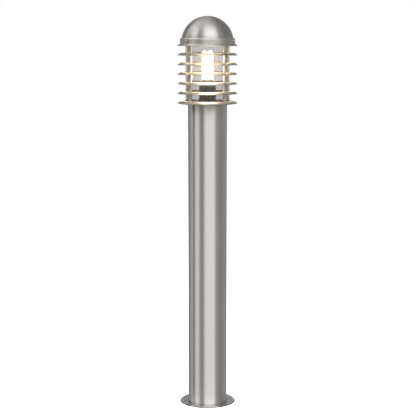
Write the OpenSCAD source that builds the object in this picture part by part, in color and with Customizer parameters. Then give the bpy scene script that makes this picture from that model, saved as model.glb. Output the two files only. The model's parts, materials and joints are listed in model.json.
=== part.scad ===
// Bollard light: a tubular post, a louvred head with a plug-in lamp behind a clear cylinder,
// and a domed cap that lifts off once its three screws are slackened.
// Millimetres, +Z up, the front towards -Y, the origin at the centre of the base's underside.

/* [Post] */
// Height from the ground to the top of the dome
total_h = 1000; // [700:10:1400]
// Outside diameter of the post tube
post_d = 100; // [80:1:120]
// Wall of the post tube
post_wall = 1.5; // [1:0.1:3]
// Diameter of the base plate
base_d = 144; // [120:1:220]
// Thickness of the base plate, and the radius of its rounded rim
base_t = 3; // [2.5:0.5:6]
// Wall of the two spigots that the ends of the post slide over
spigot_wall = 2.5; // [2:0.1:4]
// Height of each spigot
spigot_h = 40; // [30:1:60]
// Diameter of the ground anchor holes
anchor_hole_d = 9; // [7:0.5:11]
// Room between an anchor hole's centre and the spigot, for a washer and a socket key
anchor_edge = 12.95; // [11:0.05:16]
// Number of ground anchors
anchor_count = 3; // [3:1:4]
// Bore of the grommet for the supply cable
cable_d = 12; // [8:0.5:16]
// Diameter of the set screws that lock the post to its spigots
lock_d = 6; // [5:0.5:8]

/* [Head] */
// Outside diameter of the clear cylinder
glass_d = 112.5; // [90:0.5:140]
// Wall of the clear cylinder
glass_wall = 3; // [2:0.5:5]
// Thickness of the gaskets at the ends of the clear cylinder
gasket_t = 1.5; // [1:0.5:3]
// Spacing of the louvres
louvre_pitch = 24.3; // [20:0.1:30]
// Thickness of a louvre
louvre_t = 2; // [1.5:0.1:3]
// Diameter of a louvre's thickened outer edge
louvre_edge_d = 2.5; // [2:0.1:4]
// Width of a louvre's flat inner flange
louvre_flange = 9.6; // [9.6:0.1:14]
// How far a louvre's slope reaches past its flange
louvre_reach = 8.6; // [6:0.1:14]
// How far the outer edge lies below the flange
louvre_drop = 4.4; // [2:0.1:8]
// Gap between the clear cylinder and a louvre
louvre_gap = 1.25; // [0.5:0.05:3]
// Diameter of the tie rods
rod_d = 4; // [3:0.5:5]
// Diameter of the spacer sleeves on the tie rods
spacer_d = 8.8; // [7.5:0.1:9]
// Thickness of the deck that carries the head
deck_t = 3.5; // [3:0.5:6]
// Gap between the deck and the lowest louvre's flange
foot_gap = 2.4; // [2:0.1:8]
// Height from the highest louvre's flange to the top ring's flange
top_ring_rise = 28.1; // [20:0.1:40]
// Thickness of the top ring's flange
top_ring_t = 2; // [1.5:0.1:4]
// Wall of the top ring's rim
top_ring_wall = 1; // [1:0.1:2]
// Height of the top ring, from the underside of its flange to the top of its rim
top_ring_h = 8; // [8:0.1:12]
// Width of the lamp opening in the top ring
lamp_opening_d = 90; // [60:1:90]

/* [Cap] */
// Height of the dome above the collar's ledge
dome_rise = 55.6; // [40:0.1:64]
// Thickness of the dome's sheet
dome_t = 1.2; // [1:0.1:2]
// Wall of the collar
collar_wall = 1.9; // [1.5:0.1:4]
// Gap between the top ring's rim and the collar
collar_gap = 0.5; // [0.4:0.1:1]
// Radius of the collar's shoulder, which is also the step in to the dome
shoulder_r = 4; // [3:0.1:4.5]
// Depth of the collar below its ledge
collar_depth = 18.4; // [14:0.1:26]
// How far the lip reaches past the collar
lip_reach = 6.3; // [4:0.1:10]
// Height of the lip's slope where it meets the collar
lip_h = 5.8; // [4:0.1:8]
// Diameter of the lip's rounded edge
lip_edge_d = 2.6; // [2:0.1:4]
// Thickness of the ledge that the dome stands on
ledge_t = 1.2; // [1:0.1:2]
// Thickness of the seal under the ledge
seal_t = 1; // [0.8:0.1:2]
// Diameter of the cap screws
cap_screw_d = 4; // [3:0.5:5]
// Depth of the cap screws below the ledge
cap_screw_drop = 6.7; // [5.5:0.1:7]
// Direction of the first cap screw, counted from +X
cap_screw_angle = 218.5; // [210:0.5:240]

/* [Lamp] */
// Diameter of the lamp holder over its ribs
holder_d = 43; // [40:1:50]
// Height of the lamp holder above the deck
holder_h = 44; // [36:1:52]
// Number of ribs round the lamp holder
holder_ribs = 36; // [24:1:40]
// Width of the lamp's square base
lamp_base_w = 34.5; // [32:0.5:38]
// Height of the lamp's base
lamp_base_h = 15; // [10:1:24]
// Diameter of the lamp's glass tubes
lamp_tube_d = 12.5; // [11:0.1:14]
// Gap between neighbouring tubes
lamp_tube_gap = 1.5; // [1:0.1:3]
// Length of the whole lamp without its pins
lamp_h = 87.4; // [70:0.1:100]
// Diameter and length of the lamp's pins
pin_d = 2.3; // [2:0.1:3]
pin_h = 10; // [8:0.5:12]

/* [Control gear] */
// Width of the gear tray
tray_w = 48; // [44:1:52]
// Thickness of the gear tray
tray_t = 2; // [1.5:0.5:3]
// Width, depth and height of the lamp's control gear
gear_w = 40; // [36:1:44]
gear_d = 28; // [24:1:30]
gear_h = 130; // [100:1:160]
// Drop from the deck to the control gear
gear_drop = 28.5; // [24:0.5:40]
// Width, depth and height of the terminal block
terminal_w = 38; // [36:1:42]
terminal_d = 16; // [14:1:20]
terminal_h = 22; // [20:1:30]
// Diameter of the connecting wires
wire_d = 2.2; // [1.6:0.1:2.4]

/* [Hidden] */
$fn = 96;

// Radial clearance of a screw, pin or sleeve in its hole
fit = 0.05;
// Gap between two pieces that come apart in use
rest_gap = 0.2;
// How far a cutting shape runs past the face it cuts
past = 1;
// Steel and brass, as they look new
steel = "#b9b7b3";
bright_steel = "#cfcfcc";
brass = "#c9a24b";

// Post and spigots
post_in_r = post_d / 2 - post_wall;
spigot_r = post_in_r - fit;
spigot_in_r = spigot_r - spigot_wall;
anchor_r = spigot_in_r - anchor_edge;
lock_angles = [45, 135];
lock_inset = 20;

// Grommet
grommet_wall = 3;
grommet_lip = 2.5;
grommet_lip_t = 2;
grommet_recess = 0.5;
grommet_r = cable_d / 2 + grommet_wall;

// Head, worked outwards from the clear cylinder
louvre_in_r = glass_d / 2 + louvre_gap;
louvre_bend_r = louvre_in_r + louvre_flange;
louvre_edge_r = louvre_bend_r + louvre_reach - louvre_edge_d / 2;
louvre_count = 6;
rod_circle_r = louvre_in_r + louvre_flange / 2;
rod_angles = [45, 135, 225, 315];
deck_r = louvre_bend_r;
deck_hole_r = 12;
gasket_edge = 0.5;
nut_af = 7;
nut_h = 3.2;
nut_clear = 0.5;
washer_r = nut_af / 2 + 0.3;
washer_t = 0.8;
rod_tail = 1;
rim_in_r = rod_circle_r + nut_af / 2 + nut_clear;
rim_r = rim_in_r + top_ring_wall;

// Cap, worked outwards from the top ring's rim
collar_in_r = rim_r + collar_gap;
collar_r = collar_in_r + collar_wall;
dome_foot_r = collar_r - shoulder_r - 0.2;
dome_seat_gap = 0.1;
ledge_in_r = dome_foot_r - 3;
ledge_lip = 0.8;
lip_edge_r = collar_r + lip_reach - lip_edge_d / 2;
dome_r = (pow(dome_foot_r, 2) + pow(dome_rise, 2)) / (2 * dome_rise);
cap_screw_head_d = 8;
cap_screw_head_h = 2.2;

// Heights, stacked down from the top of the dome to the top of the post
ledge_z = total_h - dome_rise;
collar_top_z = ledge_z + ledge_lip;
seal_z = ledge_z - ledge_t - seal_t;
collar_low_z = ledge_z - ledge_t - collar_depth;
cap_screw_z = ledge_z - ledge_t - cap_screw_drop;
rim_top_z = seal_z - rest_gap;
top_ring_z = rim_top_z - top_ring_h;
first_louvre_z = top_ring_z - top_ring_rise - (louvre_count - 1) * louvre_pitch;
deck_z = first_louvre_z - foot_gap;
post_top_z = deck_z - deck_t;

// Lamp and holder
holder_top_z = deck_z + holder_h;
rib_w = 1.8;
rib_depth = 0.9;
ear_reach = 8;
ear_w = 16;
ear_t = 3;
ear_hole_x = holder_d / 2 + ear_reach / 2;
pin_x = 11.5;
pin_y = 4;
contact_wall = 1.05;
contact_h = 11;
contact_inset = 2;
contact_r = pin_d / 2 + fit + contact_wall;
lamp_z = holder_top_z + rest_gap;
lamp_corner_r = lamp_base_w * 0.6;
lamp_skirt_h = 4;
lamp_neck_w = 2 * lamp_tube_d + lamp_tube_gap + 3;
tube_x = (lamp_tube_d + lamp_tube_gap) / 2;
bend_z = lamp_z + lamp_h - tube_x - lamp_tube_d / 2;

// Gear tray and what hangs on it
screw_d = 4;
screw_head_d = 7;
screw_head_h = 2.2;
tray_y = gear_d / 2;
tray_gap = 2;
tray_back_y = sqrt(pow(spigot_in_r - tray_gap, 2) - pow(tray_w / 2, 2));
tray_screw_x = 14;
tray_screw_y = (tray_y + tray_t + tray_back_y) / 2;
gear_z = post_top_z - gear_drop - gear_h;
gear_tab_w = 16;
gear_tab_h = 9;
gear_tab_t = 2;
terminal_gap = 13;
terminal_z = gear_z - terminal_gap - terminal_h;
terminal_y = tray_y - terminal_d;
terminal_pitch = 9;
terminal_bore_r = 1.8;
terminal_wire_y = tray_y - terminal_d / 2;
terminal_fixing_x = 15;
terminal_screw_d = 3.4;
terminal_screw_inset = 5;
tray_low = 8;
tray_low_z = terminal_z - tray_low;
earth_x = 19.5;
earth_z = gear_z - terminal_gap / 2;
lug_t = 0.8;
lug_r = 4.2;
lug_barrel_h = 4;
wire_grip = 8;
lead_sides = 8;

// Angles of the three cap screws
function cap_screw_at(i) = cap_screw_angle + 120 * i;

// Underside of a louvre's flange, counted from 0 at the bottom
function louvre_z(i) = first_louvre_z + i * louvre_pitch;

function unit(v) = v / norm(v);

// Direction of a route at its point i
function heading(route, i) =
    unit(route[min(i + 1, len(route) - 1)] - route[max(i - 1, 0)]);

// One ring of a round wire about its route's point i, for routes that never run along Y
function wire_ring(route, i, r) =
    let (t = heading(route, i), u = unit(cross(t, [0, 1, 0])), v = cross(t, u))
    [for (k = [0 : lead_sides - 1])
        route[i] + r * (cos(360 * k / lead_sides) * u + sin(360 * k / lead_sides) * v)];

// A wire swept along a route
module wire(route, d) {
    last = len(route) - 1;
    points = [for (i = [0 : last]) each wire_ring(route, i, d / 2)];
    sides = [for (i = [0 : last - 1], k = [0 : lead_sides - 1])
        let (n = (k + 1) % lead_sides, here = i * lead_sides, next = here + lead_sides)
        each [[here + k, next + k, next + n], [here + k, next + n, here + n]]];
    start = [for (k = [0 : lead_sides - 1]) k];
    end = [for (k = [lead_sides - 1 : -1 : 0]) last * lead_sides + k];
    polyhedron(points, concat([start, end], sides));
}

// A ring about Z from z = 0 upwards
module ring(r_in, r_out, h) {
    difference() {
        cylinder(r = r_out, h = h);
        translate([0, 0, -past]) cylinder(r = r_in, h = h + 2 * past);
    }
}

// Children at a place on a circle, with their own +Z pointing outwards
module radially(angle, r, z) {
    rotate(angle) translate([r, 0, z]) rotate([0, 90, 0]) children();
}

// Children at each tie rod
module at_rods(z) {
    for (a = rod_angles)
        rotate(a) translate([rod_circle_r, 0, z]) children();
}

// A screw whose head rests on z = 0, with a cross recess, and whose shank goes down
module pan_screw(d, head_d, head_h, length) {
    slot = d * 0.3;
    difference() {
        union() {
            cylinder(d1 = head_d, d2 = head_d * 0.72, h = head_h);
            translate([0, 0, -length]) cylinder(d = d, h = length + head_h / 2);
        }
        for (turn = [0, 90])
            rotate(turn) translate([-head_d / 4, -slot / 2, head_h * 0.4]) cube([head_d / 2, slot, head_h]);
    }
}

// A set screw of a given length with a hexagon socket in its outer end, z = 0 at its inner end
module set_screw(d, length) {
    difference() {
        cylinder(d = d, h = length);
        translate([0, 0, length - d / 2]) cylinder(d = d * 0.55, h = d, $fn = 6);
    }
}

// The holes for the two set screws at a height
module lock_holes(z) {
    for (a = lock_angles)
        radially(a, 0, z) cylinder(r = lock_d / 2 + fit, h = post_d);
}

// The two set screws at a height, their ends flush with the post and the spigot's inside
module lock_screws(z) {
    flush = 0.3;
    for (a = lock_angles)
        radially(a, spigot_in_r, z) set_screw(lock_d, post_d / 2 - flush - spigot_in_r);
}

module base_plate() {
    flat_r = base_d / 2 - base_t;
    color(steel) difference() {
        union() {
            rotate_extrude() {
                square([flat_r, base_t]);
                translate([flat_r, 0]) intersection() {
                    circle(r = base_t);
                    square(base_t);
                }
            }
            translate([0, 0, base_t / 2]) ring(spigot_in_r, spigot_r, spigot_h + base_t / 2);
        }
        translate([0, 0, -past]) cylinder(r = grommet_r + fit, h = base_t + 2 * past);
        for (i = [0 : anchor_count - 1])
            rotate(90 + i * 360 / anchor_count) translate([anchor_r, 0, -past])
                cylinder(d = anchor_hole_d, h = base_t + 2 * past);
        lock_holes(base_t + lock_inset);
    }
}

module cable_grommet() {
    neck_h = base_t - grommet_recess;
    color("#2a2a2a") difference() {
        union() {
            translate([0, 0, grommet_recess]) cylinder(r = grommet_r, h = neck_h);
            translate([0, 0, base_t]) cylinder(r = grommet_r + grommet_lip, h = grommet_lip_t);
        }
        cylinder(d = cable_d, h = base_t + grommet_lip_t + past);
    }
}

module post_tube() {
    color(steel) difference() {
        translate([0, 0, base_t]) ring(post_in_r, post_d / 2, post_top_z - base_t);
        lock_holes(base_t + lock_inset);
        lock_holes(post_top_z - lock_inset);
    }
}

module post_lock_screws() {
    color(bright_steel) lock_screws(base_t + lock_inset);
}

// The deck on top of the post, with the upper spigot under it
module head_base() {
    color(steel) difference() {
        union() {
            translate([0, 0, post_top_z]) cylinder(r = deck_r, h = deck_t);
            translate([0, 0, post_top_z - spigot_h]) ring(spigot_in_r, spigot_r, spigot_h + deck_t / 2);
        }
        translate([0, 0, post_top_z - past]) {
            cylinder(r = deck_hole_r, h = deck_t + 2 * past);
            at_rods(0) cylinder(r = rod_d / 2 + fit, h = deck_t + 2 * past);
            for (x = [-ear_hole_x, ear_hole_x])
                translate([x, 0, 0]) cylinder(r = screw_d / 2 + fit, h = deck_t + 2 * past);
            for (x = [-tray_screw_x, tray_screw_x])
                translate([x, tray_screw_y, 0]) cylinder(r = screw_d / 2 + fit, h = deck_t + 2 * past);
        }
        lock_holes(post_top_z - lock_inset);
    }
}

module head_lock_screws() {
    color(bright_steel) lock_screws(post_top_z - lock_inset);
}

// A flat gasket that is a little wider than the clear cylinder's wall
module gasket(z) {
    color("#3a3a3a") translate([0, 0, z])
        ring(glass_d / 2 - glass_wall - gasket_edge, glass_d / 2 + gasket_edge, gasket_t);
}

module diffuser() {
    low = deck_z + gasket_t;
    color("#e6ecec", 0.35) translate([0, 0, low])
        ring(glass_d / 2 - glass_wall, glass_d / 2, top_ring_z - gasket_t - low);
}

// A louvre's section: a flat flange, a slope of the same thickness and a thicker outer edge
module louvre_section() {
    edge = [louvre_edge_r, louvre_t / 2 - louvre_drop];
    slope = atan2(louvre_drop, louvre_edge_r - louvre_bend_r);
    mitre = tan(slope / 2) * louvre_t / 2;
    across = [sin(slope), cos(slope)] * louvre_t / 2;
    polygon([[louvre_in_r, 0], [louvre_bend_r - mitre, 0], edge - across, edge + across,
        [louvre_bend_r + mitre, louvre_t], [louvre_in_r, louvre_t]]);
    translate(edge) circle(d = louvre_edge_d);
}

// One louvre, with its holes for the tie rods
module louvre(i) {
    color(steel) translate([0, 0, louvre_z(i)]) difference() {
        rotate_extrude() louvre_section();
        at_rods(-past) cylinder(r = rod_d / 2 + 4 * fit, h = louvre_t + 2 * past);
    }
}

module spacer(length) {
    ring(rod_d / 2 + 2 * fit, spacer_d / 2, length);
}

module foot_spacers() {
    color(bright_steel) at_rods(deck_z) spacer(foot_gap);
}

// The sleeves between the louvres, and those between the highest louvre and the top ring
module louvre_spacers() {
    color(bright_steel) {
        for (i = [0 : louvre_count - 2])
            at_rods(louvre_z(i) + louvre_t) spacer(louvre_pitch - louvre_t);
        at_rods(louvre_z(louvre_count - 1) + louvre_t) spacer(top_ring_rise - louvre_t);
    }
}

module tie_rods() {
    top = top_ring_z + top_ring_t + washer_t + nut_h + rod_tail;
    color(bright_steel) at_rods(post_top_z) cylinder(d = rod_d, h = top - post_top_z);
}

module tie_rod_washers() {
    color(bright_steel) at_rods(top_ring_z + top_ring_t) ring(rod_d / 2 + 2 * fit, washer_r, washer_t);
}

module tie_rod_nuts() {
    color(bright_steel) at_rods(top_ring_z + top_ring_t + washer_t) difference() {
        rotate(30) cylinder(d = nut_af / cos(30), h = nut_h, $fn = 6);
        translate([0, 0, -past]) cylinder(r = rod_d / 2 + fit, h = nut_h + 2 * past);
    }
}

// The ring that clamps the clear cylinder, with the rim that the cap fits over
module top_ring() {
    color(steel) translate([0, 0, top_ring_z]) difference() {
        rotate_extrude() {
            translate([lamp_opening_d / 2, 0]) square([rim_r - lamp_opening_d / 2, top_ring_t]);
            translate([rim_in_r, 0]) square([top_ring_wall, top_ring_h]);
        }
        at_rods(-past) cylinder(r = rod_d / 2 + 4 * fit, h = top_ring_t + 2 * past);
    }
}

module at_pins(z) {
    for (x = [-pin_x, pin_x], y = [-pin_y, pin_y])
        translate([x, y, z]) children();
}

// The ribbed holder, with an ear at each side for its screw
module lamp_holder() {
    core_r = holder_d / 2 - rib_depth;
    bore_h = contact_h + contact_inset;
    color("#2b2a28") translate([0, 0, deck_z]) difference() {
        union() {
            cylinder(r = core_r, h = holder_h);
            for (i = [0 : holder_ribs - 1])
                rotate(i * 360 / holder_ribs) translate([core_r - rib_depth, -rib_w / 2, 0])
                    cube([2 * rib_depth, rib_w, holder_h - 2 * rib_depth]);
            translate([-ear_hole_x - ear_reach / 2, -ear_w / 2, 0])
                cube([2 * ear_hole_x + ear_reach, ear_w, ear_t]);
        }
        at_pins(holder_h - bore_h) cylinder(r = contact_r + fit, h = bore_h + past);
        for (x = [-ear_hole_x, ear_hole_x])
            translate([x, 0, -past]) cylinder(r = screw_d / 2 + fit, h = ear_t + 2 * past);
    }
}

module holder_contacts() {
    color(brass) at_pins(holder_top_z - contact_inset - contact_h)
        ring(pin_d / 2 + fit, contact_r, contact_h);
}

module holder_screws() {
    color(bright_steel) for (x = [-ear_hole_x, ear_hole_x])
        translate([x, 0, deck_z + ear_t]) pan_screw(screw_d, screw_head_d, screw_head_h, ear_t + deck_t);
}

// An angle of sheet that hangs from the deck: a flange behind and a strip down the middle
module gear_tray() {
    strip_h = post_top_z - tray_low_z;
    color("#c4c6c8") difference() {
        union() {
            translate([-tray_w / 2, tray_y, post_top_z - tray_t])
                cube([tray_w, tray_back_y - tray_y, tray_t]);
            translate([-tray_w / 2, tray_y, tray_low_z]) cube([tray_w, tray_t, strip_h]);
        }
        for (x = [-tray_screw_x, tray_screw_x])
            translate([x, tray_screw_y, post_top_z - tray_t - past])
                cylinder(r = screw_d / 2 + fit, h = tray_t + 2 * past);
        tray_holes(screw_d / 2 + fit);
    }
}

// Children at each screw that goes back into the tray, with their own +Z pointing to the front
module at_gear_screws(y) {
    for (z = [gear_z - gear_tab_h / 2, gear_z + gear_h + gear_tab_h / 2])
        translate([0, y, z]) rotate([90, 0, 0]) children();
}

module at_terminal_fixings(y) {
    for (x = [-terminal_fixing_x, terminal_fixing_x])
        translate([x, y, terminal_z + terminal_h / 2]) rotate([90, 0, 0]) children();
}

module tray_holes(r) {
    depth = tray_t + 2 * past;
    at_gear_screws(tray_y + tray_t + past) cylinder(r = r, h = depth);
    at_terminal_fixings(tray_y + tray_t + past) cylinder(r = r, h = depth);
    translate([earth_x, tray_y + tray_t + past, earth_z]) rotate([90, 0, 0]) cylinder(r = r, h = depth);
}

module gear_tray_screws() {
    color(bright_steel) for (x = [-tray_screw_x, tray_screw_x])
        translate([x, tray_screw_y, deck_z]) pan_screw(screw_d, screw_head_d, screw_head_h, deck_t + tray_t);
}

// The control gear: a plain case with a shallow lid line and a fixing tab at each end
module control_gear() {
    groove = 0.8;
    lid_y = -gear_d / 2 + 8;
    color("#e8e8e4") difference() {
        union() {
            translate([-gear_w / 2, -gear_d / 2, gear_z]) cube([gear_w, gear_d, gear_h]);
            translate([-gear_tab_w / 2, tray_y - gear_tab_t, gear_z - gear_tab_h])
                cube([gear_tab_w, gear_tab_t, gear_h + 2 * gear_tab_h]);
        }
        for (x = [-gear_w / 2 - past, gear_w / 2 - groove])
            translate([x, lid_y, gear_z - past]) cube([past + groove, groove, gear_h + 2 * past]);
        at_gear_screws(tray_y + past) cylinder(r = screw_d / 2 + fit, h = gear_tab_t + 2 * past);
    }
}

module control_gear_screws() {
    color(bright_steel) at_gear_screws(tray_y - gear_tab_t)
        pan_screw(screw_d, screw_head_d, screw_head_h, gear_tab_t + tray_t);
}

// A three-pole block: an upright hole for each wire and two clamping screws across each hole
module terminal_block() {
    color("#efece2") difference() {
        translate([-terminal_w / 2, terminal_y, terminal_z]) cube([terminal_w, terminal_d, terminal_h]);
        for (x = [-terminal_pitch, 0, terminal_pitch])
            translate([x, terminal_wire_y, terminal_z - past])
                cylinder(r = terminal_bore_r, h = terminal_h + 2 * past);
        at_terminal_screws() cylinder(r = terminal_screw_d / 2 + fit, h = terminal_d);
        at_terminal_fixings(tray_y + past) cylinder(r = screw_d / 2 + fit, h = terminal_d + 2 * past);
    }
}

// Children at the inner end of each clamping screw, with their own +Z pointing to the front
module at_terminal_screws() {
    for (x = [-terminal_pitch, 0, terminal_pitch])
        for (z = [terminal_z + terminal_screw_inset, terminal_z + terminal_h - terminal_screw_inset])
            translate([x, terminal_wire_y - wire_d / 2 - rest_gap, z]) rotate([90, 0, 0]) children();
}

module terminal_screws() {
    sunk = 0.8;
    length = terminal_wire_y - wire_d / 2 - rest_gap - terminal_y - sunk;
    slot_w = 0.8;
    color(brass) at_terminal_screws() difference() {
        cylinder(d = terminal_screw_d, h = length);
        translate([-terminal_screw_d, -slot_w / 2, length - 1]) cube([2 * terminal_screw_d, slot_w, 2]);
    }
}

module terminal_fixing_screws() {
    color(bright_steel) at_terminal_fixings(terminal_y)
        pan_screw(screw_d, screw_head_d * 0.9, screw_head_h, terminal_d + tray_t);
}

// The live and neutral wires from the terminal block to the control gear
module gear_leads() {
    low = terminal_z + terminal_h - wire_grip;
    color("#7a4a2a") for (x = [-terminal_pitch, terminal_pitch])
        translate([x, terminal_wire_y, low]) cylinder(d = wire_d, h = gear_z - low);
}

// Four wires from the control gear up through the deck to the underside of the holder
module lamp_leads() {
    low = gear_z + gear_h;
    color("#d8d4c8") for (k = [-3, -1, 1, 3])
        wire([[4 * k, 0, low], [4 * k, 0, low + 4], [4.4 * k, -1.5, low + 9], [4.2 * k, -3, low + 14],
            [3.2 * k, -2.5, low + 19], [2.2 * k, -1, low + 24], [2 * k, 0, low + 27], [2 * k, 0, deck_z]],
            wire_d);
}

// The earth wire, from the middle pole across to the lug's barrel
module earth_lead() {
    low = terminal_z + terminal_h;
    y = tray_y - lug_r / 2;
    mouth_x = earth_x - lug_r - lug_barrel_h;
    color("#7ea53a") wire([[0, terminal_wire_y, low - wire_grip], [0, terminal_wire_y, low + 1.5],
        [1.2, terminal_wire_y + 0.2, low + 4], [3.5, terminal_wire_y + 1.2, earth_z],
        [6.5, terminal_wire_y + 3.2, earth_z], [mouth_x - 2.3, y - 0.9, earth_z],
        [mouth_x - 1, y, earth_z], [mouth_x, y, earth_z]], wire_d);
}

// A ring lug on the tray: a flat eye under the screw and a barrel that grips the wire
module earth_lug() {
    barrel_y = tray_y - lug_r / 2;
    color("#b8a070") difference() {
        union() {
            translate([earth_x, tray_y, earth_z]) rotate([90, 0, 0]) cylinder(r = lug_r, h = lug_t);
            translate([earth_x - lug_r - lug_barrel_h, barrel_y, earth_z])
                rotate([0, 90, 0]) cylinder(r = lug_r / 2, h = lug_barrel_h + lug_r - screw_head_d / 2);
        }
        translate([earth_x, tray_y + past, earth_z]) rotate([90, 0, 0])
            cylinder(r = screw_d / 2 + fit, h = lug_t + 2 * past);
    }
}

module earth_screw() {
    color(bright_steel) translate([earth_x, tray_y - lug_t, earth_z]) rotate([90, 0, 0])
        pan_screw(screw_d, screw_head_d, screw_head_h, lug_t + tray_t);
}

// The lamp's base: a square skirt with rounded corners and a narrower neck round the tubes
module lamp_base() {
    neck_r = lamp_neck_w * 0.64;
    color("#f4f2ea") translate([0, 0, lamp_z]) {
        intersection() {
            translate([-lamp_base_w / 2, -lamp_base_w / 2, 0])
                cube([lamp_base_w, lamp_base_w, lamp_base_h - lamp_skirt_h]);
            cylinder(r = lamp_corner_r, h = lamp_base_h);
        }
        intersection() {
            translate([-lamp_neck_w / 2, -lamp_neck_w / 2, 0])
                cube([lamp_neck_w, lamp_neck_w, lamp_base_h]);
            cylinder(r = neck_r, h = lamp_base_h);
        }
    }
}

// Two tubes side by side, each bent over from front to back
module lamp_tubes() {
    foot_z = lamp_z + lamp_base_h;
    color("#fffdf0") for (x = [-tube_x, tube_x]) {
        for (y = [-tube_x, tube_x])
            translate([x, y, foot_z]) cylinder(d = lamp_tube_d, h = bend_z - foot_z);
        translate([x, 0, bend_z]) rotate([90, 0, 90])
            rotate_extrude(angle = 180) translate([tube_x, 0]) circle(d = lamp_tube_d);
    }
}

module lamp_pins() {
    color(brass) at_pins(lamp_z - pin_h) cylinder(d = pin_d, h = pin_h);
}

// The spun dome, which stands on the collar's ledge
module cap_dome() {
    color(steel) translate([0, 0, total_h - dome_r]) rotate_extrude() intersection() {
        difference() {
            circle(r = dome_r);
            circle(r = dome_r - dome_t);
        }
        translate([0, dome_r - dome_rise]) square([dome_r, dome_rise]);
    }
}

// The collar's section: its wall and shoulder, the ledge inside it and the lip below it
module collar_section() {
    shoulder_z = collar_top_z - shoulder_r;
    difference() {
        union() {
            translate([0, collar_low_z]) square([collar_r, shoulder_z - collar_low_z]);
            translate([0, shoulder_z]) square([collar_r - shoulder_r, shoulder_r]);
            translate([collar_r - shoulder_r, shoulder_z]) circle(r = shoulder_r);
            polygon([[0, collar_low_z], [lip_edge_r, collar_low_z], [lip_edge_r, collar_low_z + lip_edge_d],
                [collar_r, collar_low_z + lip_h], [0, collar_low_z + lip_h]]);
            translate([lip_edge_r, collar_low_z + lip_edge_d / 2]) circle(d = lip_edge_d);
        }
        translate([0, collar_low_z - past]) square([collar_in_r, collar_depth + past]);
        translate([0, collar_low_z]) square([ledge_in_r, collar_top_z]);
        translate([0, ledge_z]) square([dome_foot_r + dome_seat_gap, collar_top_z]);
    }
}

module cap_collar() {
    color(steel) difference() {
        rotate_extrude() collar_section();
        for (i = [0 : 2])
            radially(cap_screw_at(i), rim_r, cap_screw_z) cylinder(r = cap_screw_d / 2 + fit, h = lip_reach);
    }
}

// The soft seal under the ledge, which sits on the top ring's rim
module cap_seal() {
    color("#3a3a3a") translate([0, 0, seal_z]) ring(ledge_in_r + gasket_edge, collar_in_r - fit, seal_t);
}

// A cap screw: its point bears on the top ring's rim and its button head stands off the collar
module cap_screw(i) {
    start = rim_r + collar_gap - rest_gap;
    length = collar_r + rest_gap - start;
    color(bright_steel) radially(cap_screw_at(i), start, cap_screw_z) difference() {
        union() {
            cylinder(d = cap_screw_d, h = length + cap_screw_head_h / 2);
            translate([0, 0, length])
                cylinder(d1 = cap_screw_head_d, d2 = cap_screw_head_d * 0.62, h = cap_screw_head_h);
        }
        translate([0, 0, length + cap_screw_head_h * 0.4])
            cylinder(d = cap_screw_d * 0.72, h = cap_screw_head_h, $fn = 6);
    }
}

base_plate();
cable_grommet();
post_tube();
post_lock_screws();
head_base();
head_lock_screws();
gasket(deck_z);  // lower_gasket
diffuser();
gasket(top_ring_z - gasket_t);  // upper_gasket
louvre(0);  // louvre_1
louvre(1);  // louvre_2
louvre(2);  // louvre_3
louvre(3);  // louvre_4
louvre(4);  // louvre_5
louvre(5);  // louvre_6
foot_spacers();
louvre_spacers();
tie_rods();
tie_rod_washers();
tie_rod_nuts();
top_ring();
lamp_holder();
holder_contacts();
holder_screws();
gear_tray();
gear_tray_screws();
control_gear();
control_gear_screws();
terminal_block();
terminal_screws();
terminal_fixing_screws();
gear_leads();
lamp_leads();
earth_lead();
earth_lug();
earth_screw();
lamp_base();
lamp_tubes();
lamp_pins();
cap_dome();
cap_collar();
cap_seal();
cap_screw(0);  // cap_screw_1
cap_screw(1);  // cap_screw_2
cap_screw(2);  // cap_screw_3
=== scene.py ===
"""Bollard light: finishes, the lit lamp, the studio and the camera, round the fixed frame."""
import json
import math

import bmesh
import bpy
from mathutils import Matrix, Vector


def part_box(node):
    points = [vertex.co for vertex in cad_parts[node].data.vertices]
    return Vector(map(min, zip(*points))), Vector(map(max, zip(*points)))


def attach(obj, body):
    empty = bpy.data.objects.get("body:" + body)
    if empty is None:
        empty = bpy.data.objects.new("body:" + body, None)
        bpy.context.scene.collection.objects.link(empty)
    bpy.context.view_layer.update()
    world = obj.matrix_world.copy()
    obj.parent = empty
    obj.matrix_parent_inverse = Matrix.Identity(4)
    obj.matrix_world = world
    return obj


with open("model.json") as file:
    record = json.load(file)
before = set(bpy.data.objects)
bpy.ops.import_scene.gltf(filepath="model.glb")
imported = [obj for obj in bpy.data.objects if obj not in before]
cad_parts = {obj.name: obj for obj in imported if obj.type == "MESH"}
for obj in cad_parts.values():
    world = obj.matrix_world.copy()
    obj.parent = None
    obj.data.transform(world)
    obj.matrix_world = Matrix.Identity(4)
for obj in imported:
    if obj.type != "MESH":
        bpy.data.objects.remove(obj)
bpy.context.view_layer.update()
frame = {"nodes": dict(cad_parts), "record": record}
nodes = frame["nodes"]

MM = 0.001

# Places that the finishes and the lights follow, read from the frame
PLATE_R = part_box("base_plate")[1].x
POST_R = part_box("post_tube")[1].x
COVER_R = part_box("diffuser")[1].x
LOUVRE_BEND_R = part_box("head_base")[1].x  # the deck reaches to the bend of the rings above it
LAMP_LOW, LAMP_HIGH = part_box("lamp_tubes")


# ---------------------------------------------------------------- shader writing

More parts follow.
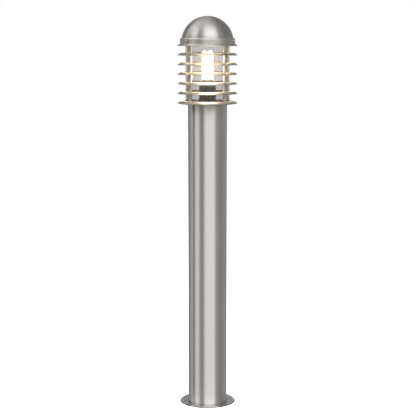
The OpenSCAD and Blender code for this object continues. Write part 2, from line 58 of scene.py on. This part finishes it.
class Value:
    """A socket that takes part in Python arithmetic and adds the Math nodes for it."""

    def __init__(self, graph, socket):
        self.graph = graph
        self.socket = socket

    def math(self, operation, first, second):
        return self.graph.node("ShaderNodeMath", {"operation": operation}, {0: first, 1: second})

    def __add__(self, other):
        return self.math("ADD", self, other)

    def __radd__(self, other):
        return self.math("ADD", other, self)

    def __sub__(self, other):
        return self.math("SUBTRACT", self, other)

    def __rsub__(self, other):
        return self.math("SUBTRACT", other, self)

    def __mul__(self, other):
        return self.math("MULTIPLY", self, other)

    def __rmul__(self, other):
        return self.math("MULTIPLY", other, self)

    def __pow__(self, other):
        return self.math("POWER", self, other)


class Graph:
    """A node tree and the few ways in which nodes are added to it."""

    def __init__(self, tree):
        self.tree = tree

    def node(self, kind, settings=None, sockets=None, out=0):
        """One node: its settings first, then the values or links of its sockets."""
        made = self.tree.nodes.new(kind)
        for name, value in (settings or {}).items():
            setattr(made, name, value)
        for name, value in (sockets or {}).items():
            if isinstance(value, Value):
                self.tree.links.new(value.socket, made.inputs[name])
            else:
                made.inputs[name].default_value = value
        return Value(self, made.outputs[out])

    def split(self, vector):
        """The three numbers of a vector."""
        made = self.node("ShaderNodeSeparateXYZ", sockets={0: vector})
        return [Value(self, socket) for socket in made.socket.node.outputs]

    def vector(self, x, y, z):
        return self.node("ShaderNodeCombineXYZ", sockets={0: x, 1: y, 2: z})

    def noise(self, vector, scale, detail=2.0, roughness=0.5):
        """Noise from 0 to 1 that hangs round 0.5."""
        return self.node(
            "ShaderNodeTexNoise",
            sockets={"Vector": vector, "Scale": scale, "Detail": detail, "Roughness": roughness},
        )

    def ramp(self, value, low, high):
        """A smooth step from 0 at low to 1 at high."""
        return self.node(
            "ShaderNodeMapRange",
            {"interpolation_type": "SMOOTHSTEP"},
            {"Value": value, "From Min": low, "From Max": high},
        )

    def between(self, value, low, high, soft):
        """1 between low and high, falling to 0 over soft on each side."""
        rise = self.ramp(value, low - soft, low + soft)
        fall = self.ramp(value, high - soft, high + soft)
        return rise * (1 - fall)

    def blend(self, mask, low, high):
        """The colour low where mask is 0 and high where it is 1."""
        factor, first, second, mixed = 0, 6, 7, 2
        return self.node(
            "ShaderNodeMix",
            {"data_type": "RGBA"},
            {factor: mask, first: opaque(low), second: opaque(high)},
            out=mixed,
        )


def opaque(colour):
    """A colour as a socket takes it: a link as it is, three numbers with their alpha."""
    return colour if isinstance(colour, Value) else (*colour, 1.0)


class Finish(Graph):
    """A material with one Principled shader. Constants go straight on the shader's own sockets."""

    def __init__(self, name, **constants):
        self.material = bpy.data.materials.new(name)
        self.material.use_nodes = True
        super().__init__(self.material.node_tree)
        self.shader = self.tree.nodes["Principled BSDF"]
        for socket, value in constants.items():
            self.shader.inputs[socket.replace("_", " ")].default_value = value
        self.at = self.node("ShaderNodeTexCoord", out="Object")
        self.x, self.y, self.z = self.split(self.at)

    def feed(self, socket, value):
        self.tree.links.new(value.socket, self.shader.inputs[socket])

    def bump(self, height, depth):
        """Relief of the given depth in metres where height runs from 0 to 1."""
        relief = self.node(
            "ShaderNodeBump",
            sockets={"Strength": 1.0, "Distance": depth, "Height": height},
            out="Normal",
        )
        self.feed("Normal", relief)

    def radius(self):
        """The distance from the post's axis."""
        return (self.x * self.x + self.y * self.y) ** 0.5


# ---------------------------------------------------------------- finishes

def stainless(name, light, dark, roughness, line_pitch, seed, **constants):
    """Satin stainless steel, brushed round the axis, with handling smears and a few scratches."""
    finish = Finish(name, Metallic=1.0, **constants)
    radius = finish.radius()
    fine = 1 / line_pitch
    brushed = finish.vector(radius * fine, finish.z * fine, finish.x * 14 + seed)
    lines = finish.noise(brushed, 1.0, 3, 0.7)
    patches = finish.noise(finish.at, 11 + seed, 3)
    upright = finish.vector(finish.x * 30, finish.y * 30, finish.z * 7 + seed)
    smears = finish.noise(upright, 1.0, 4, 0.6)
    specks = finish.ramp(finish.noise(finish.at, 900, 1), 0.70, 0.78)
    slanted = finish.vector(finish.x * 60 + finish.z * 25, finish.y * 60, finish.z * 500)
    scratches = finish.ramp(finish.noise(slanted, 1.0, 1), 0.72, 0.75)
    wear = finish.ramp(smears, 0.35, 0.75)
    finish.feed("Base Color", finish.blend(patches * 0.6 + lines * 0.4 - specks * 0.3, dark, light))
    marks = 0.05 * wear + 0.06 * (lines - 0.5) + 0.08 * specks + 0.1 * scratches
    finish.feed("Roughness", roughness + marks)
    finish.bump(lines * 0.8 + patches * 0.12 - scratches * 0.6, 0.004 * MM)
    return finish.material


def plate_steel():
    """The base plate: mottled, with painted shade round the post, a painted highlight band and a
    rim that turns down.
    """
    finish = Finish("plate_steel", Metallic=1.0)
    radius = finish.radius()
    rim = finish.ramp(radius, PLATE_R - 3.2 * MM, PLATE_R + 1.5 * MM)
    # Painted shade: the plate is painted darker where it meets the post, patchy with the stains.
    foot = 1 - finish.ramp(radius, POST_R, POST_R + 4 * MM)
    mottle = finish.noise(finish.at, 90, 4, 0.6)
    stains = finish.ramp(finish.noise(finish.at, 24, 3), 0.42, 0.7)
    top = finish.blend(mottle * 0.7 + stains * 0.3, (0.52, 0.51, 0.5), (0.7, 0.69, 0.68))
    # Painted highlight: a pale band just inside the edge stands in for a reflected light.
    painted_highlight_band = finish.between(radius, PLATE_R - 6 * MM, PLATE_R - 3.5 * MM, 0.8 * MM)
    top_and_painted_shade = finish.blend(foot * (0.5 + 0.4 * stains), top, (0.16, 0.15, 0.14))
    finish.feed("Base Color", finish.blend(painted_highlight_band, top_and_painted_shade, (0.93, 0.96, 0.98)))
    finish.feed("Roughness", 0.13 + 0.08 * mottle + 0.1 * stains)
    finish.bump(mottle * 0.002 - rim, 7.0 * MM)
    return finish.material


def louvre_steel():
    """Satin steel: the flat flange painted pale as if lit by the lamp, the slope painted greyer as
    if in shade, and painted shade at the edge round the cover.
    """
    finish = Finish("louvre_steel")
    radius = finish.radius()
    # Painted shade: next to the cover the rings are painted near black brown, where their inner
    # edges fall in shade.
    beyond_painted_edge_shade = finish.ramp(radius, COVER_R + 1.5 * MM, COVER_R + 4 * MM)
    lines = finish.noise(finish.vector(radius * 2500, finish.z * 2500, finish.x * 20), 1.0, 3, 0.7)
    patches = finish.noise(finish.at, 26, 3)
    slope = finish.ramp(radius, LOUVRE_BEND_R - 1 * MM, LOUVRE_BEND_R + 3 * MM)
    mottle = patches * 0.6 + lines * 0.4
    # Painted light and shade: the flat flange is painted pale as if lit by the lamp, and the slope
    # greyer as if in shade.
    painted_lit_flat_colour = finish.blend(mottle, (0.78, 0.75, 0.69), (0.9, 0.88, 0.82))
    painted_shade_slope_colour = finish.blend(mottle, (0.4, 0.38, 0.35), (0.54, 0.52, 0.48))
    plain = finish.blend(slope, painted_lit_flat_colour, painted_shade_slope_colour)
    finish.feed("Base Color", finish.blend(beyond_painted_edge_shade, (0.035, 0.022, 0.012), plain))
    finish.feed("Metallic", 0.35 + 0.6 * slope)
    finish.feed("Roughness", 0.38 + 0.12 * (lines - 0.5) + 0.08 * patches - 0.08 * slope)
    finish.bump(lines * 0.8 + patches * 0.5, 0.004 * MM)
    return finish.material


def turned_metal(name, light, dark, roughness):
    """Small turned or pressed metal pieces: fine lines across the axis and dull patches."""
    finish = Finish(name, Metallic=1.0)
    lines = finish.noise(finish.vector(finish.x * 300, finish.y * 300, finish.z * 5000), 1.0, 2)
    dull = finish.noise(finish.at, 220, 3)
    finish.feed("Base Color", finish.blend(dull, dark, light))
    finish.feed("Roughness", roughness + 0.14 * dull + 0.05 * lines)
    finish.bump(lines, 0.003 * MM)
    return finish.material


def clear_cover():
    """The clear cylinder: smoky, a little hazed and dusty, and denser where it is seen edge on."""
    finish = Finish("clear_cover", IOR=1.49, Specular_IOR_Level=0.1)
    dust = finish.noise(finish.at, 420, 4, 0.7)
    runs = finish.noise(finish.vector(finish.x * 70, finish.y * 70, finish.z * 5), 1.0, 3)
    edge = finish.node("ShaderNodeLayerWeight", sockets={"Blend": 0.25}, out="Fresnel")
    finish.feed("Base Color", finish.blend(dust, (0.03, 0.026, 0.028), (0.06, 0.053, 0.057)))
    finish.feed("Roughness", 0.28 + 0.1 * finish.ramp(dust, 0.45, 0.75))
    finish.feed("Alpha", 0.14 + 0.05 * runs + 0.04 * dust + 0.3 * edge)
    return finish.material


def lit_tube():
    """Phosphor-coated glass that glows warm white, redder at its foot."""
    finish = Finish("lit_tube", Roughness=0.25, Emission_Strength=2.6)
    above_foot = finish.ramp(finish.z, LAMP_LOW.z, LAMP_LOW.z + 12 * MM)
    coat = finish.noise(finish.at, 160, 3)
    warm = finish.blend(above_foot, (1.0, 0.7, 0.36), (1.0, 0.87, 0.62))
    finish.feed("Emission Color", finish.blend(coat * 0.3, warm, (1.0, 0.93, 0.76)))
    finish.feed("Base Color", finish.blend(coat, (0.9, 0.88, 0.82), (0.97, 0.96, 0.92)))
    finish.bump(coat, 0.01 * MM)
    return finish.material


def moulded(name, light, dark, roughness, grain, depth):
    """Moulded plastic or rubber: a fine grain, cloudy colour and a few shinier rubbed places."""
    finish = Finish(name)
    grains = finish.noise(finish.at, grain, 3, 0.6)
    clouds = finish.noise(finish.at, grain / 25, 3)
    rubbed = finish.ramp(clouds, 0.5, 0.8)
    finish.feed("Base Color", finish.blend(clouds * 0.7 + grains * 0.3, dark, light))
    finish.feed("Roughness", roughness + 0.12 * (grains - 0.5) - 0.08 * rubbed)
    finish.bump(grains, depth)
    return finish.material


def wire_cover(name, light, dark):
    """The smooth plastic cover of one wire."""
    return moulded(name, light, dark, 0.42, 1400, 0.01 * MM)


def zinc_plated():
    """Zinc-plated sheet with its crystal spangle."""
    finish = Finish("zinc_plated", Metallic=0.9)
    cells = finish.node(
        "ShaderNodeTexVoronoi",
        {"feature": "F1"},
        {"Vector": finish.at, "Scale": 160.0, "Randomness": 1.0},
        out="Color",
    )
    shade = finish.node("ShaderNodeRGBToBW", sockets={0: cells})
    cloud = finish.noise(finish.at, 60, 3)
    spangle = shade * 0.6 + cloud * 0.4
    finish.feed("Base Color", finish.blend(spangle, (0.42, 0.44, 0.46), (0.66, 0.68, 0.7)))
    finish.feed("Roughness", 0.32 + 0.16 * shade + 0.1 * cloud)
    finish.bump(shade, 0.004 * MM)
    return finish.material


def ribbed(name, rib, painted_groove_shade, count, roughness):
    """Moulded ribs round a cylinder that stands on the axis, with painted shade in the grooves."""
    finish = Finish(name, Specular_IOR_Level=0.4)
    azimuth = finish.x.math("ARCTAN2", finish.y, finish.x)
    crest = finish.x.math("COSINE", azimuth * count, 0.0)
    grain = finish.noise(finish.at, 1500, 3)
    clouds = finish.noise(finish.at, 60, 3)
    raised = finish.ramp(crest + 0.3 * clouds, -0.6, 0.8)
    # Painted shade: the grooves between the ribs are painted near black.
    finish.feed("Base Color", finish.blend(raised, painted_groove_shade, rib))
    finish.feed("Roughness", roughness + 0.12 * (grain - 0.5) + 0.1 * clouds)
    finish.bump(crest, 0.3 * MM)
    return finish.material


# One finish for each material slot of the record
FINISHES = {
    "stainless": stainless(
        "satin_stainless", (0.88, 0.857, 0.835), (0.79, 0.767, 0.745), 0.38, 0.35 * MM, 3,
        Anisotropic=1.0, Anisotropic_Rotation=0.25),
    "fixings": turned_metal("turned_steel", (0.72, 0.71, 0.69), (0.55, 0.54, 0.52), 0.2),
    "clear": clear_cover(),
    "rubber": moulded(
        "black_rubber", (0.05, 0.05, 0.05), (0.02, 0.02, 0.02), 0.75, 2600, 0.03 * MM),
    "black_plastic": moulded(
        "black_bakelite", (0.075, 0.068, 0.06), (0.03, 0.028, 0.025), 0.42, 1800, 0.02 * MM),
    "lamp_plastic": moulded(
        "lamp_plastic", (0.05, 0.048, 0.042), (0.025, 0.024, 0.02), 0.4, 1500, 0.01 * MM),
    "lamp_glass": lit_tube(),
    "brass": turned_metal("plain_brass", (0.83, 0.66, 0.33), (0.6, 0.44, 0.2), 0.25),
    "galvanised": zinc_plated(),
    "gear_case": moulded(
        "white_enamel", (0.84, 0.84, 0.82), (0.74, 0.74, 0.72), 0.35, 900, 0.02 * MM),
    "ceramic": moulded(
        "glazed_ceramic", (0.87, 0.84, 0.76), (0.76, 0.72, 0.63), 0.3, 1100, 0.02 * MM),
    "brown_wire": wire_cover("brown_cover", (0.28, 0.13, 0.06), (0.2, 0.09, 0.04)),
    "white_wire": wire_cover("white_cover", (0.8, 0.78, 0.73), (0.68, 0.66, 0.6)),
    "earth_wire": wire_cover("green_cover", (0.34, 0.52, 0.1), (0.22, 0.4, 0.07)),
}

# Nodes with a finish of their own, by the start of their names. The first match counts, so the
# sleeves stand before the rings.
SPECIAL_FINISHES = {
    # Painted shade: the dome is a darker copy of the post's steel, which holds its highlights down
    # under the bright front softboxes.
    "cap_dome": stainless(
        "spun_stainless", (0.6, 0.582, 0.567), (0.52, 0.504, 0.49), 0.38, 0.5 * MM, 5,
        Anisotropic=0.8, Anisotropic_Rotation=0.25),
    "cap_collar": stainless(
        "spun_collar", (0.72, 0.7, 0.67), (0.63, 0.61, 0.585), 0.4, 0.5 * MM, 6,
        Anisotropic=0.6, Anisotropic_Rotation=0.25),
    "base_plate": plate_steel(),
    "cap_screw": turned_metal("dull_steel", (0.56, 0.55, 0.53), (0.4, 0.39, 0.38), 0.34),
    "louvre_spacers": turned_metal("sleeve_steel", (0.66, 0.62, 0.555), (0.5, 0.465, 0.41), 0.46),
    "foot_spacers": turned_metal("foot_steel", (0.38, 0.355, 0.32), (0.26, 0.245, 0.22), 0.36),
    "louvre_": louvre_steel(),
    # The near-black second colour is painted shade in the grooves.
    "lamp_holder": ribbed("ribbed_bakelite", (0.17, 0.19, 0.175), (0.002, 0.002, 0.002), 36, 0.45),
}


def dress_frame():
    """Gives every node of the frame its own finish, or that of its slot in the record."""
    for subpart in frame["record"]["subparts"]:
        name = subpart["node"]
        finish = FINISHES[subpart["material_slot"]]
        own = [special for start, special in SPECIAL_FINISHES.items() if name.startswith(start)]
        if own:
            finish = own[0]
        for held in nodes[name].material_slots:
            held.material = finish


def round_edges(name, radius):
    """Breaks the sharp edges of a node that stands where its rim catches the light."""
    rounding = nodes[name].modifiers.new("rounded_edges", "BEVEL")
    rounding.width = radius
    rounding.segments = 3
    rounding.limit_method = "ANGLE"
    rounding.angle_limit = math.radians(50)
    rounding.harden_normals = True


# ---------------------------------------------------------------- studio and camera

# Softboxes as the object sees them, in degrees: azimuth to the right of the camera, from, to and
# softness; elevation, from, to and softness; and the brightness added to the room's.
SOFTBOXES = [
    ("front_low", (-23, 51, 5), (-60, -24, 6), 0.5),
    ("front_mid", (-23, 51, 5), (8, 24, 4), 0.65),
    ("front_high", (-20, 49, 6), (24, 54, 6), 2.6),
    ("front_side", (44, 78, 16), (3, 50, 6), 0.3),
    ("front_fall", (31, 52, 8), (-50, 3, 3), 0.1),
    ("left", (-79, -57, 2), (-50, 6, 2), 0.4),
    ("left_gap", (-101, -85, 2), (-50, 20, 4), -0.27),
    ("left_split", (-102, -84, 4), (20, 37, 5), -1.7),
    ("left_rear", (-124, -104, 2), (-50, 6, 2), 0.2),
    ("left_upper", (-119, -51, 3), (22, 46, 5), 2.05),
    ("high_band", (-155, 54, 26), (50, 92, 12), 0.7),
    ("right_gap", (54, 96, 4), (-50, 3, 4), -0.04),
    ("right_rear", (99, 150, 4), (-50, 18, 4), 0.06),
    ("back_left", (-196, -172, 4), (-50, 14, 5), 0.4),
    ("back_right", (164, 190, 4), (-50, 14, 5), 0.4),
    ("below", (-190, 190, 5), (-95, -52, 5), -0.2),
]
ROOM_LEVEL = 0.27
BACKDROP_LEVEL = 1.0


def make_world():
    """A white backdrop for the camera, and a grey room with softboxes for light and reflections."""
    world = bpy.data.worlds.new("studio")
    world.use_nodes = True
    graph = Graph(world.node_tree)
    direction = graph.node("ShaderNodeTexCoord", out="Generated")
    x, y, z = graph.split(direction)
    degrees = 180 / math.pi
    azimuth = x.math("ARCTAN2", x, 0 - y) * degrees
    elevation = z.math("ARCSINE", z, 0.0) * degrees
    level = ROOM_LEVEL
    for _, across, upwards, brightness in SOFTBOXES:
        window = graph.between(azimuth, *across) * graph.between(elevation, *upwards)
        level = level + window * brightness
    level = level.math("MAXIMUM", level, 0.0)
    seen = graph.node("ShaderNodeLightPath", out="Is Camera Ray")
    room = graph.vector(level, level * 0.985, level * 0.965)
    colour = graph.blend(seen, room, (BACKDROP_LEVEL,) * 3)
    background = world.node_tree.nodes["Background"]
    world.node_tree.links.new(colour.socket, background.inputs["Color"])
    bpy.context.scene.world = world


def make_floor():
    """A plain pale floor, wide enough to meet the backdrop out of sight."""
    reach = 9.0
    sides = 96
    mesh = bpy.data.meshes.new("floor")
    bm = bmesh.new()
    bmesh.ops.create_circle(bm, cap_ends=True, radius=reach, segments=sides)
    bm.to_mesh(mesh)
    bm.free()
    floor = bpy.data.objects.new("floor", mesh)
    bpy.context.collection.objects.link(floor)
    paint = Finish("floor_paint", Roughness=0.9, Specular_IOR_Level=0.1, Emission_Strength=0.7)
    cloud = paint.noise(paint.at, 3, 2)
    paint.feed("Base Color", paint.blend(cloud, (0.88, 0.88, 0.88), (0.9, 0.9, 0.9)))
    paint.feed("Emission Color", paint.blend(cloud, (0.98, 0.98, 0.98), (1.0, 1.0, 1.0)))
    mesh.materials.append(paint.material)
    floor.location.z = -0.2 * MM  # clear of the base plate's underside
    floor.visible_glossy = False


def make_lights():
    """One wide softbox overhead, which brightens the floor and stays out of reflections."""
    data = bpy.data.lights.new("overhead", "AREA")
    data.shape = "DISK"
    data.size = 5.0
    data.energy = 330.0
    lamp = bpy.data.objects.new("overhead", data)
    bpy.context.collection.objects.link(lamp)
    lamp.location = (0.0, 0.0, 4.5)
    lamp.visible_glossy = False
    lamp.visible_camera = False


def make_lamp_glow():
    """Small warm lights round the lit tubes, which light the louvres and go with the lamp."""
    ring_r = 24 * MM
    per_ring = 6
    power = 0.085
    for level, share in enumerate((0.02, 0.28, 0.52, 0.76)):
        height = LAMP_LOW.z + share * (LAMP_HIGH.z - LAMP_LOW.z)
        for step in range(per_ring):
            angle = 2 * math.pi * (step + 0.5) / per_ring
            data = bpy.data.lights.new(f"glow_{level}_{step}", "POINT")
            data.color = (1.0, 0.84, 0.58)
            data.energy = power
            data.shadow_soft_size = 8 * MM
            glow = bpy.data.objects.new(data.name, data)
            bpy.context.collection.objects.link(glow)
            glow.location = (ring_r * math.cos(angle), ring_r * math.sin(angle), height)
            glow.visible_camera = False
            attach(glow, "lamp")


def make_camera():
    """Eye level with the head, a little over three metres in front, aimed down the post."""
    distance = 3.18
    height = 0.96
    pitch = math.radians(8.04)
    data = bpy.data.cameras.new("camera")
    data.lens = 107.9
    data.sensor_width = 36.0
    data.shift_x = 0.0011
    camera = bpy.data.objects.new("camera", data)
    bpy.context.collection.objects.link(camera)
    camera.location = (0.0, -distance, height)
    camera.rotation_euler = (math.pi / 2 - pitch, 0.0, 0.0)
    bpy.context.scene.camera = camera


dress_frame()
round_edges("base_plate", 1.1 * MM)
make_world()
make_floor()
make_lights()
make_lamp_glow()
make_camera()
bpy.context.scene.view_settings.view_transform = "Standard"
